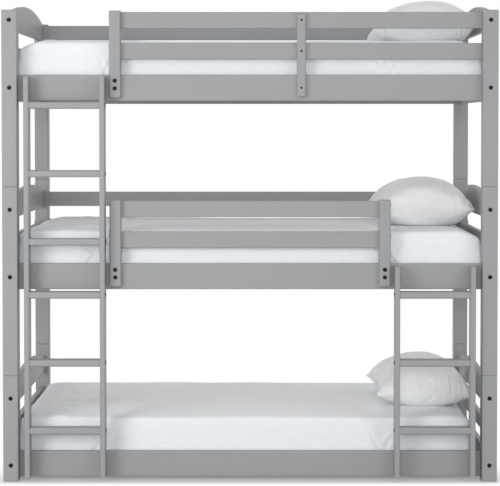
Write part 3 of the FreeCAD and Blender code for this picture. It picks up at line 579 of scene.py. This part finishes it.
# %% Sheet wrinkles
# The depth of each kind of wrinkle, and its size along the bed, across it and up.
WRINKLE, WRINKLE_SIZE = 4*MM, (220*MM, 45*MM, 300*MM)
RIPPLE, RIPPLE_SIZE = 1.5*MM, (60*MM, 300*MM, 200*MM)
PUCKER, PUCKER_SIZE = {"bottom": 7*MM, "middle": 3*MM, "top": 3*MM}, (45*MM, 60*MM, 300*MM)
RIPPLE_SEED, PUCKER_SEED = 5, 9
# Below the top face, wrinkles start at the first depth and are full at the second.
TOP_START, TOP_FULL = 70*MM, 20*MM
# From the left end, puckers set in over the first stretch and fade over the second; from the back edge,
# they set in over the third.
SLACK_START, SLACK_END, SLACK_BACK = (30*MM, 110*MM), (250*MM, 700*MM), (30*MM, 160*MM)


def sheet_wrinkles(points, low, high, pucker_depth, seed):
    """How far each point of a sheet moves out for wrinkles, loose puckers and ripples in its sides."""
    top_share = smooth_step(points[:, 2], high[2] - TOP_START, high[2] - TOP_FULL)
    from_left, from_back = points[:, 0] - low[0], high[1] - points[:, 1]
    slack = smooth_step(from_left, *SLACK_START)*(1 - smooth_step(from_left, *SLACK_END))
    slack *= smooth_step(from_back, *SLACK_BACK)
    moves = WRINKLE*top_share*field(points, WRINKLE_SIZE, seed)
    moves += pucker_depth*top_share*slack*field(points, PUCKER_SIZE, seed + PUCKER_SEED)
    return moves + RIPPLE*(1 - top_share)*field(points, RIPPLE_SIZE, seed + RIPPLE_SEED)


print("wrinkles are up to", round(WRINKLE/MM), "mm deep")

# %% [markdown]
# ## Three mattresses, each made a little differently
# No two beds are made alike. The three mattresses share one recipe, but the places of their flaps, the
# slack of their sheets and their random seeds differ.

# %% Mattresses
MATTRESS_CLOTH = dict(frames=14, cap=6*MM, pressure=4.0, stiffness=12.0, bending=0.3, grow=0.01)
# How far the cloth may stand out past its solid.
ROOM = 6*MM
FAN_FROM_END = 365*MM
TUCK_FROM_END = {"bottom": (330*MM, 374*MM), "middle": (305*MM, 375*MM), "top": (316*MM, 360*MM)}
TUCK_DEPTH = {"bottom": 5*MM, "middle": 5*MM, "top": 1*MM}
# Quads that face the front, this near to a flap, are halved to draw its edge.
FACES_FRONT, FINER_REACH = -0.8, 80*MM
SEEDS_PER_TIER = 10


def make_mattress(tier, seed):
    """One mattress in its fitted sheet."""
    node = f"{tier}_mattress"
    piece = mattress_block(node, END_SAG[tier], END_RISE[tier])
    inflate(piece, **MATTRESS_CLOTH)
    subdivided(piece)
    low, high = corners_of(node)
    ends = ((low[0], 1), (high[0], -1))
    tucks = [end + way*reach for (end, way), reach in zip(ends, TUCK_FROM_END[tier])]
    finer(piece, lambda spot, normal:
          normal.y < FACES_FRONT and min(abs(spot.x - x) for x in tucks) < FINER_REACH)
    points = points_of(piece.data)
    moves = sheet_wrinkles(points, low, high, PUCKER[tier], seed)
    for (end, way), flap in zip(ends, tucks):
        moves += tuck(points, flap, way, low, low[1], TUCK_DEPTH[tier])
        for face in (low[1], high[1]):
            fan_seed = seed*SEEDS_PER_TIER + int(way > 0) + 2*int(face > 0)
            moves += corner_fan(points, end + way*FAN_FROM_END, way, low, high, face, fan_seed)
    points += normals_of(piece.data)*moves[:, None]
    points[:, :2] = np.clip(points[:, :2], low[:2] - ROOM, high[:2] + ROOM)
    points[:, 2] = np.maximum(points[:, 2], low[2])
    set_points(piece.data, points)
    dress(piece, node, sheet_cotton)


for count, tier in enumerate(TIERS, start=1):
    make_mattress(tier, count)

# %% [markdown]
# ## Pillows
# A pillow is two panels of cotton sewn together at the edge, then filled. Filling draws the sides in
# between the corners and lifts a crown, and the seam puckers. The panels start near their filled form,
# with a little cloth to spare, and are inflated as cloth, so the slack wrinkles by itself. The form is
# then set in its place and pressed flat where it lies.

# %% Pillow panels
PILLOW_CELL = 8*MM
# How far the sides draw in half way between the corners.
SIDE_PULL, END_PULL = 16*MM, 12*MM
CORNER_ROUND = 30*MM
# Two powers that shape the crown from front to back.
DEEP_BEND, DEEP_POWER = 3.2, 0.55
# The filling is lumpy by this much, with this many steps of noise over half a panel.
LUMP, LUMPS_WIDE, LUMPS_DEEP, LUMP_SEED_STEP = 2*MM, 9, 13, 3.1
SEAM_CREASE = 0.7


def eased_corner(x, y, half):
    """Bend a place near a corner of the panel onto a round outline."""
    limits = [size - CORNER_ROUND for size in half]
    core = [max(-limit, min(limit, value)) for limit, value in zip(limits, (x, y))]
    away = x - core[0], y - core[1]
    share = max(map(abs, away))/max(math.hypot(*away), TINY)
    return core[0] + away[0]*share, core[1] + away[1]*share


def pillow_panels(name, half, crown, lean, bend, power, seed):
    """Two crowned panels that share their edge, with the crown leaning to one side."""
    mesh = bmesh.new()
    sharp = mesh.edges.layers.float.new("crease_edge")
    wide, deep = (2*round(size/PILLOW_CELL) for size in half)
    grid = {}
    for side in (1, -1):
        for i in range(wide + 1):
            for j in range(deep + 1):
                u, v = 2*i/wide - 1, 2*j/deep - 1
                at_edge = max(abs(u), abs(v)) == 1
                key = (i, j, 0 if at_edge else side)
                if key in grid:
                    continue
                tilted = u - lean*(1 - u*u)
                loft = (1 - abs(tilted)**bend)**power*(1 - abs(v)**DEEP_BEND)**DEEP_POWER
                spot = Vector((u*LUMPS_WIDE, v*LUMPS_DEEP, seed*LUMP_SEED_STEP + side))
                uneven = 0 if at_edge else LUMP*noise.noise(spot)
                x = u*(half[0] - SIDE_PULL*(1 - v*v))
                y = v*(half[1] - END_PULL*(1 - u*u))
                x, y = eased_corner(x, y, half)
                grid[key] = mesh.verts.new((x, y, side*crown*loft + uneven))
    for side in (1, -1):
        for i in range(wide):
            for j in range(deep):
                loop = [(i, j), (i + 1, j), (i + 1, j + 1), (i, j + 1)]
                corners = [grid.get((a, b, side)) or grid[(a, b, 0)] for a, b in loop]
                mesh.faces.new(corners if side > 0 else corners[::-1])
    seam = {vertex for key, vertex in grid.items() if key[2] == 0}
    for edge in mesh.edges:
        if seam.issuperset(edge.verts):
            edge[sharp] = SEAM_CREASE
    data = bpy.data.meshes.new(name)
    mesh.to_mesh(data)
    mesh.free()
    return new_piece(name, data)


print("pillow panels have", round(PILLOW_CELL/MM), "mm quads")

# %% [markdown]
# ## A pillow settles where it lies
# The filled form is stretched to the room that its solid has, and its underside is pressed flat on the
# mattress by a curve that never goes below zero. The corners have little filling, so they droop. A seam
# could be drawn as a dark line, but on a real case it is a thin ridge, so the sewn edge is lifted.

# %% Pillow settling
# How deep the underside would hang below the seam if free, as a share of the seam's height.
UNDER_SHARE = 1.38
# How softly the pressed part begins.
PRESS = 4*MM
CORNER_DROOP, DROOP_POWER = 14*MM, 3
SEAM_RIDGE = 4*MM


def settle(points, node, turn, seam, rise, crown):
    """Set the filled pillow in its place: turned, seam and crown at their heights, flat below."""
    low, high = corners_of(node)
    middle, half = (low + high)/2, (high - low)/2
    cosine, sine = math.cos(turn), math.sin(turn)
    flat = points[:, :2] @ np.array(((cosine, sine), (-sine, cosine)))
    flat *= half[:2]/np.abs(flat).max(axis=0)
    sewn = seam + rise*flat[:, 0]/half[0]
    up = points[:, 2]/points[:, 2].max()*(crown - sewn)
    down = points[:, 2]/-points[:, 2].min()*sewn*UNDER_SHARE
    droop = CORNER_DROOP*np.prod(np.abs(flat)/half[:2], axis=1)**DROOP_POWER
    lift = sewn + np.where(points[:, 2] > 0, up, down) - droop
    pressed = PRESS*np.logaddexp(0, lift/PRESS)
    return np.column_stack((middle[:2] + flat, low[2] + pressed))


def raise_seam(piece):
    """Let the sewn edge, which is the creased loop of the panels, stand out as a thin ridge."""
    creases = piece.data.attributes["crease_edge"].data
    edges = [edge for edge, sharp in zip(piece.data.edges, creases) if sharp.value]
    sewn = sorted({end for edge in edges for end in edge.vertices})
    points = points_of(piece.data)
    points[sewn] += SEAM_RIDGE*normals_of(piece.data)[sewn]
    set_points(piece.data, points)


print("a pillow's seam stands out", round(SEAM_RIDGE/MM), "mm")

# %% [markdown]
# ## Puckers along the seam
# A case is a little larger than its pillow, so the spare cloth stands in small folds that run up from
# the seam, most of them at the corners and on the right, where the case is loosest. They are a random
# field that is narrow along the seam and long across it, so faces that look along the bed and across it
# need a field each.

# %% Pillow puckers
FOLD, FOLD_REACH, CORNER_REACH = 8*MM, 75*MM, 120*MM
# Shares of a fold's depth: anywhere, added at a corner, on the left, added on the right, and below.
FOLD_SHARE, CORNER_SHARE, LEFT_SHARE, RIGHT_SHARE, UNDER_FOLD_SHARE = 0.4, 1.5, 0.3, 1.0, 0.5
FRONT_FOLD_SIZE, SIDE_FOLD_SIZE = (11*MM, 200*MM, 80*MM), (200*MM, 13*MM, 80*MM)
FOLD_PATCH_SIZE = (100*MM, 100*MM, 200*MM)
DENT, DENT_SIZE = 2.5*MM, (90*MM, 120*MM, 90*MM)
# Folds fade out over this height where the pillow lies on the mattress.
FLAT_BELOW = 20*MM
# Where a normal is this upright, it faces neither the front nor a side.
UPRIGHT = 1e-6


def pucker(piece, node, seam, rise, seed):
    """Small folds that run up from the seam, most at the corners and on the right."""
    low, high = corners_of(node)
    middle, half = (low + high)/2, (high - low)/2
    points, out = points_of(piece.data), normals_of(piece.data)
    side_seed, dent_seed, patch_seed = (seed + step for step in (1, 2, 3))
    sewn = low[2] + seam + rise*(points[:, 0] - middle[0])/half[0]
    from_corner = np.linalg.norm((half - np.abs(points - middle))[:, :2], axis=1)
    near = np.exp(-np.abs(points[:, 2] - sewn)/FOLD_REACH)
    near *= FOLD_SHARE + CORNER_SHARE*np.exp(-from_corner/CORNER_REACH)
    near *= LEFT_SHARE + RIGHT_SHARE*smooth_step(points[:, 0], middle[0], high[0])
    near *= np.where(points[:, 2] < sewn, UNDER_FOLD_SHARE, 1.0)
    near *= 1 + field(points, FOLD_PATCH_SIZE, patch_seed)
    facing = out[:, 1]**2/np.maximum(out[:, 0]**2 + out[:, 1]**2, UPRIGHT)
    folds = field(points, FRONT_FOLD_SIZE, seed)*facing
    folds += field(points, SIDE_FOLD_SIZE, side_seed)*(1 - facing)
    moves = FOLD*near*folds + DENT*field(points, DENT_SIZE, dent_seed)
    moves *= smooth_step(points[:, 2], low[2], low[2] + FLAT_BELOW)
    set_points(piece.data, points + out*moves[:, None])


print("folds reach", round(FOLD_REACH/MM), "mm from the seam")

# %% [markdown]
# ## Three pillows
# The pillows are alike, but each was dropped a little differently: two are turned by about a degree, one
# each way, and the top one is pushed up on its right, so its seam rises and its crown leans that way.

# %% Pillows
PILLOW_CLOTH = dict(frames=16, cap=14*MM, pressure=3.0, stiffness=15.0, bending=0.1, grow=0.02)


def make_pillow(tier, seed, turn, seam, rise, crown, lean, bend, power):
    """One filled pillow on its mattress."""
    node = f"{tier}_pillow"
    low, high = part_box(node)
    half = (high - low)/2
    piece = pillow_panels(node + "_case", half[:2], crown - seam, lean, bend, power, seed)
    inflate(piece, **PILLOW_CLOTH)
    set_points(piece.data, settle(points_of(piece.data), node, turn, seam, rise, crown))
    raise_seam(piece)
    subdivided(piece)
    pucker(piece, node, seam, rise, seed)
    dress(piece, node, case_cotton)


# Each pillow's turn in radians, the height of its seam, how far the seam rises to the right, the height
# of its crown, how far the crown leans to the right, and two powers for how broad and how full it is.
PILLOWS = {
    "bottom": dict(turn=0.02, seam=70*MM, rise=0*MM, crown=192*MM, lean=0.06, bend=2.1, power=0.65),
    "middle": dict(turn=0.0, seam=85*MM, rise=0*MM, crown=202*MM, lean=0.06, bend=2.15, power=0.65),
    "top": dict(turn=-0.01, seam=72*MM, rise=14*MM, crown=193*MM, lean=0.22, bend=2.2, power=0.42),
}
for count, tier in enumerate(TIERS, start=1):
    make_pillow(tier, count, **PILLOWS[tier])

# %% [markdown]
# ## Floor
# The bed stands on a pale grey floor that turns into white a short way off, like a paper sweep in a
# studio.
# Near the bed the paper is greyer than the sweep. That is painted shade, which deepens the bed's real
# shadow there, and a little painted white glow lightens that shade again. More light on the floor could
# make it white too, but that would wash out the bed. So the camera sees the far floor as white, while
# the light that it throws on the bed stays at a plain level.

# %% Floor
# The painted shade on the floor starts to fade a little inside the bed's outline, and is gone this far
# outside that.
FADE_INSET, FADE = (29.5*MM, 42.75*MM), 90*MM
# How much painted white glow is mixed into the shade below the bed, to lighten it.
PAINTED_SHADE_LIFT = 0.26
FLOOR_HALF = 40.0


def seen_directly(tree):
    """1 for what the camera sees, also in a reflection or through glass."""
    path = add(tree, "LightPath").outputs
    seen = path["Is Camera Ray"]
    for ray in ("Is Glossy Ray", "Is Transmission Ray"):
        seen = add(tree, "Math", {0: seen, 1: path[ray]}, operation="MAXIMUM").outputs["Value"]
    return seen


def floor_with_painted_shade():
    """A matt floor, grey near the bed as painted shade, lightened by painted white glow, white further
    off.
    """
    material, tree = new_tree("matt_paper_sweep_with_painted_shade")
    footprint = (cad_box[1][0] - FADE_INSET[0], cad_box[1][1] - FADE_INSET[1], cad_box[1][2])
    spot = add(tree, "TexCoord").outputs["Object"]
    size = add(tree, "VectorMath", {0: spot}, operation="ABSOLUTE").outputs["Vector"]
    past = add(tree, "VectorMath", {0: size, 1: footprint}, operation="SUBTRACT").outputs["Vector"]
    outside = add(tree, "VectorMath", {0: past, 1: (0, 0, 0)}, operation="MAXIMUM").outputs["Vector"]
    away = add(tree, "VectorMath", {0: outside}, operation="LENGTH").outputs["Value"]
    fade = add(tree, "MapRange", {"Value": away, "From Max": FADE, "To Min": PAINTED_SHADE_LIFT},
               interpolation_type="SMOOTHSTEP").outputs["Result"]
    # The paper is greyer than the white sweep around it. This is painted shade that deepens the bed's
    # real shadow near the bed.
    paper = add(tree, "BsdfDiffuse", {"Color": linear("#CACACA")}).outputs["BSDF"]
    white = add(tree, "Emission", {"Strength": 1.0}).outputs["Emission"]
    shown = add(tree, "MixShader", {0: fade, 1: paper, 2: white}).outputs["Shader"]
    whole = add(tree, "MixShader", {0: seen_directly(tree), 1: paper, 2: shown}).outputs["Shader"]
    add(tree, "OutputMaterial", {"Surface": whole})
    return material


floor_mesh = bpy.data.meshes.new("floor")
corners = [(FLOOR_HALF*x, FLOOR_HALF*y, 0) for x, y in ((-1, -1), (1, -1), (1, 1), (-1, 1))]
floor_mesh.from_pydata(corners, [], [(0, 1, 2, 3)])
floor_mesh.materials.append(floor_with_painted_shade())
new_piece("floor", floor_mesh)
print("floor laid", 2*FLOOR_HALF, "m across")

# %% [markdown]
# ## Light
# One softbox stands at the camera and one more at each side, near enough that each ladder throws soft
# shadows on the rail behind it. Two far banks of lamps, one high in front and one behind, brush over the
# tops of the bedding, and a low ambient light fills the rest. The camera sees the world as white, but
# the bed gets only its dim even light.

# %% World and lamps
AMBIENT = 0.57
WHITE = linear("#FFFFFF")


def studio_world():
    """White to the camera, and an even dim room to everything else."""
    world = bpy.data.worlds.new("studio")
    world.use_nodes = True
    tree = world.node_tree
    tree.nodes.clear()
    fill = add(tree, "Background", {"Color": WHITE, "Strength": AMBIENT}).outputs["Background"]
    white = add(tree, "Background", {"Color": WHITE, "Strength": 1.0}).outputs["Background"]
    both = add(tree, "MixShader", {0: seen_directly(tree), 1: fill, 2: white}).outputs["Shader"]
    add(tree, "OutputWorld", {"Surface": both})
    return world


def hang(name, lamp, direction):
    """Put a lamp in the scene so that it shines in a direction."""
    holder = bpy.data.objects.new(name, lamp)
    holder.rotation_euler = Vector(direction).to_track_quat("-Z", "Y").to_euler()
    scene.collection.objects.link(holder)
    return holder


def softbox(name, place, target, size, power):
    """A large rectangular lamp that looks at a point."""
    lamp = bpy.data.lights.new(name, "AREA")
    lamp.shape = "RECTANGLE"
    lamp.size, lamp.size_y = size
    lamp.energy = power
    hang(name, lamp, Vector(target) - Vector(place)).location = place


def far_bank(name, stands, spread, strength):
    """Even light from a bank of lamps far away, which leaves no glints on edges."""
    lamp = bpy.data.lights.new(name, "SUN")
    lamp.energy = strength
    lamp.angle = math.radians(spread)
    hang(name, lamp, -Vector(stands)).visible_glossy = False


scene.world = studio_world()
scene.view_settings.view_transform = "Standard"
softbox("front_softbox", place=(0.04, -7.2, 1.6), target=(0.0, 0.0, 1.0), size=(1.2, 1.2), power=58)
far_bank("back_bank", stands=(0.0, 1.0, 0.33), spread=12, strength=1.1)
far_bank("upper_bank", stands=(0.0, -1.0, 0.40), spread=25, strength=0.27)
softbox("left_softbox", place=(-2.9, -3.6, 1.5), target=(-0.2, 0.0, 1.0), size=(1.6, 2.0), power=60)
softbox("right_softbox", place=(2.9, -3.6, 1.5), target=(0.2, 0.0, 1.0), size=(1.6, 2.0), power=20)
print("room light", AMBIENT, "with", len(bpy.data.lights), "lamps")

# %% [markdown]
# ## Camera
# The bed was seen from well in front, with a long lens, from a little below the height of an adult's
# eyes, so the near and far posts differ only a little. Half of the downward look is a slight tilt and
# half is a shift of the lens, which keeps the posts nearly upright.

# %% Camera
# The picture's width and the focal length in pixels, and the sensor's width in millimetres.
FRAME_WIDTH = 500
FOCAL = 1774.5
SENSOR = 36.0
EYE = Vector((0.0419, -7.664, 1.4377))
TILT = math.radians(1.852)
SHIFT = (-0.0209, -0.12)

optics = bpy.data.cameras.new("camera")
optics.sensor_width = SENSOR
optics.lens = FOCAL/FRAME_WIDTH*SENSOR
optics.shift_x, optics.shift_y = SHIFT
camera = bpy.data.objects.new("camera", optics)
camera.location = EYE
camera.rotation_euler = (math.pi/2 - TILT, 0, 0)
scene.collection.objects.link(camera)
scene.camera = camera
print("lens", round(optics.lens, 1), "mm, tilt", round(math.degrees(TILT), 2), "degrees")
